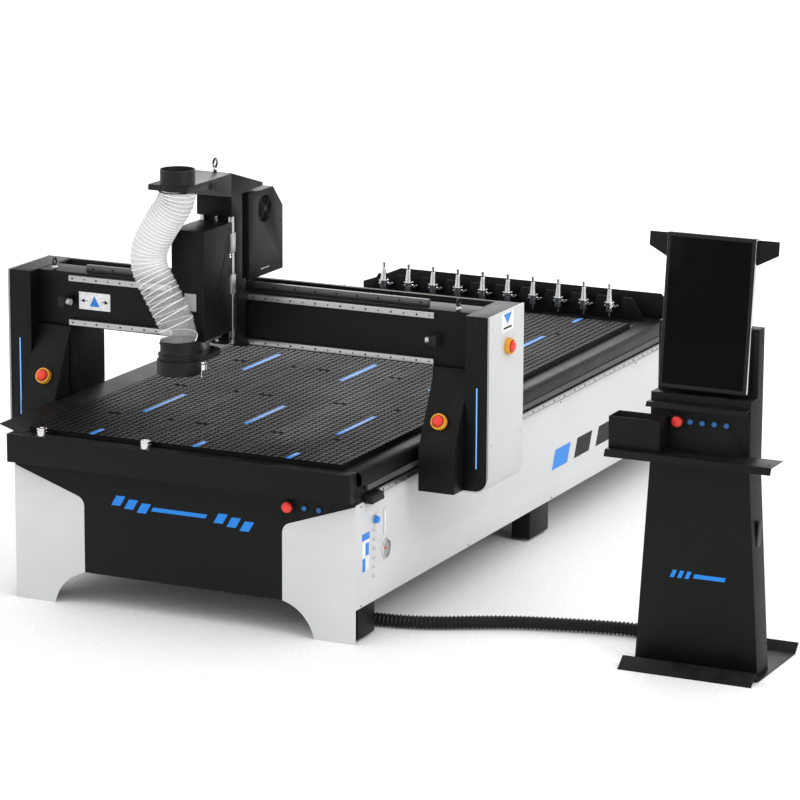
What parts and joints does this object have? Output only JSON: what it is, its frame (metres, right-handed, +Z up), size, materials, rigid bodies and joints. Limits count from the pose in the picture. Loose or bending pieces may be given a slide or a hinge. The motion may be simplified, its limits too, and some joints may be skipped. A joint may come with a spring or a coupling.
{
  "type": "cnc router",
  "caption": "Moving-gantry CNC router with a grid vacuum table, dust hood and hose on its head, a rear tool rack and a free-standing operator console joined by a conduit.",
  "frame": {"origin": "middle of the floor rectangle that the bed, gantry and console cover", "axes": "+X along the gantry towards the console, +Y along the bed away from the operator, +Z up"},
  "size_m": [3.7444, 3.959, 1.921],
  "materials": {
    "black_coat": "satin powder coat",
    "white_coat": "smooth powder coat",
    "table_black": "matte phenolic board",
    "blue_strip": "smooth",
    "steel": "ground",
    "chrome": "polished",
    "machined": "machined",
    "black_plastic": "satin",
    "hose_film": "clear film over wire",
    "red_plastic": "smooth",
    "yellow_plastic": "smooth",
    "blue_plastic": "smooth",
    "screen_glass": "glossy screen",
    "cast_black": "fine"
  },
  "bodies": {
    "base": {"bed_frame": "black_coat", "leg_panels": "white_coat", "centre_front_panel": "black_coat", "apron": "black_coat", "body_panels": "white_coat", "side_ledges": "black_coat", "scrap_tray": "black_coat", "y_rails": "steel", "vacuum_table": "table_black", "table_inlays": "blue_strip", "tool_rack": "black_coat", "tool_holders": "chrome", "rear_fence": "black_coat", "panel_fittings": "chrome", "console_base": "black_coat", "console_column": "black_coat", "console_shelves": "black_coat", "monitor_mount": "black_coat", "monitor": "screen_glass", "conduit": "black_plastic", "conduit_glands": "black_coat"},
    "gantry": {"gantry_beam": "black_coat", "gantry_columns": "black_coat", "side_covers": "white_coat", "front_covers": "black_coat", "x_rails": "steel", "bump_stops": "black_coat", "y_bearing_blocks": "machined", "y_gearmotors": "cast_black", "stop_shrouds": "yellow_plastic"},
    "x_carriage": {"carriage_plate": "black_coat", "z_column": "black_coat", "z_rails": "steel", "head_roof": "black_coat", "electrical_box": "black_coat", "hose_spigot": "black_coat", "dust_hose": "hose_film"},
    "z_head": {"z_slide": "machined", "spindle_cover": "black_coat", "spindle_motor": "machined", "dust_shoe": "black_plastic"},
    "spindle_rotor": {"spindle_rotor": "chrome"},
    "z_screw": {"z_screw": "steel"},
    "box_fan": {"box_fan": "black_plastic"},
    "location_pins": {"location_pins": "chrome"},
    "selector_knob": {"selector_knob": "black_plastic"},
    "left_stop_button": {"left_stop_button": "red_plastic"},
    "right_stop_button": {"right_stop_button": "red_plastic"},
    "side_stop_button": {"side_stop_button": "red_plastic"},
    "front_stop_button": {"front_stop_button": "red_plastic"},
    "console_stop_button": {"console_stop_button": "red_plastic"},
    "front_button_1": {"front_button_1": "blue_plastic"},
    "front_button_2": {"front_button_2": "blue_plastic"},
    "console_button_1": {"console_button_1": "blue_plastic"},
    "console_button_2": {"console_button_2": "blue_plastic"},
    "console_button_3": {"console_button_3": "blue_plastic"},
    "console_button_4": {"console_button_4": "blue_plastic"},
    "y_pinion_left": {"y_pinion_left": "steel"},
    "y_pinion_right": {"y_pinion_right": "steel"},
    "x_pinion": {"x_pinion": "steel"}
  },
  "joints": [
    {"name": "gantry_slide", "type": "slide", "parent": "base", "child": "gantry", "axis": [0, 1, 0], "range_m": [-0.4, 2.955]},
    {"name": "x_slide", "type": "slide", "parent": "gantry", "child": "x_carriage", "axis": [1, 0, 0], "range_m": [-0.7, 0.855]},
    {"name": "z_slide", "type": "slide", "parent": "x_carriage", "child": "z_head", "axis": [0, 0, 1], "range_m": [-0.215, 0.015], "deforming": ["dust_hose"]},
    {"name": "spindle_spin", "type": "hinge", "parent": "z_head", "child": "spindle_rotor", "pos_m": [-0.77875, -1.5905, 1.06], "axis": [0, 0, 1], "continuous": true},
    {"name": "z_screw_spin", "type": "hinge", "parent": "x_carriage", "child": "z_screw", "pos_m": [-0.77875, -1.4505, 1.112], "axis": [0, 0, 1], "continuous": true},
    {"name": "y_pinion_left_spin", "type": "hinge", "parent": "gantry", "child": "y_pinion_left", "pos_m": [-1.56105, -1.1905, 0.652], "axis": [0, 0, 1], "continuous": true},
    {"name": "y_pinion_right_spin", "type": "hinge", "parent": "gantry", "child": "y_pinion_right", "pos_m": [0.15955, -1.1905, 0.652], "axis": [0, 0, 1], "continuous": true},
    {"name": "x_pinion_spin", "type": "hinge", "parent": "x_carriage", "child": "x_pinion", "pos_m": [-0.77875, -1.2172, 1.35], "axis": [0, 0, 1], "continuous": true},
    {"name": "fan_spin", "type": "hinge", "parent": "x_carriage", "child": "box_fan", "pos_m": [-0.71475, -1.1615, 1.657], "axis": [1, 0, 0], "continuous": true},
    {"name": "selector_turn", "type": "hinge", "parent": "base", "child": "selector_knob", "pos_m": [0.11925, -1.7455, 0.503], "axis": [1, 0, 0], "range_deg": [-45, 45]},
    {"name": "pins_slide", "type": "slide", "parent": "base", "child": "location_pins", "axis": [0, 0, 1], "range_m": [-0.034, 0]},
    {"name": "left_stop_press", "type": "slide", "parent": "gantry", "child": "left_stop_button", "axis": [0, 0.9002, -0.4355], "range_m": [0, 0.006]},
    {"name": "right_stop_press", "type": "slide", "parent": "gantry", "child": "right_stop_button", "axis": [0, 0.9002, -0.4355], "range_m": [0, 0.006]},
    {"name": "side_stop_press", "type": "slide", "parent": "gantry", "child": "side_stop_button", "axis": [-1, 0, 0], "range_m": [0, 0.006]},
    {"name": "front_stop_press", "type": "slide", "parent": "base", "child": "front_stop_button", "axis": [0, 1, 0], "range_m": [0, 0.005]},
    {"name": "console_stop_press", "type": "slide", "parent": "base", "child": "console_stop_button", "axis": [0, 1, 0], "range_m": [0, 0.005]},
    {"name": "front_button_1_press", "type": "slide", "parent": "base", "child": "front_button_1", "axis": [0, 1, 0], "range_m": [0, 0.003], "stiffness_N_per_m": 500},
    {"name": "front_button_2_press", "type": "slide", "parent": "base", "child": "front_button_2", "axis": [0, 1, 0], "range_m": [0, 0.003], "stiffness_N_per_m": 500},
    {"name": "console_button_1_press", "type": "slide", "parent": "base", "child": "console_button_1", "axis": [0, 1, 0], "range_m": [0, 0.003], "stiffness_N_per_m": 500},
    {"name": "console_button_2_press", "type": "slide", "parent": "base", "child": "console_button_2", "axis": [0, 1, 0], "range_m": [0, 0.003], "stiffness_N_per_m": 500},
    {"name": "console_button_3_press", "type": "slide", "parent": "base", "child": "console_button_3", "axis": [0, 1, 0], "range_m": [0, 0.003], "stiffness_N_per_m": 500},
    {"name": "console_button_4_press", "type": "slide", "parent": "base", "child": "console_button_4", "axis": [0, 1, 0], "range_m": [0, 0.003], "stiffness_N_per_m": 500}
  ],
  "couplings": [
    {"joint": "z_screw_spin", "follows": "z_slide", "rad_per_m": 628.32},
    {"joint": "y_pinion_right_spin", "follows": "gantry_slide", "rad_per_m": 55.556},
    {"joint": "y_pinion_left_spin", "follows": "gantry_slide", "rad_per_m": -55.556},
    {"joint": "x_pinion_spin", "follows": "x_slide", "rad_per_m": -55.556}
  ]
}
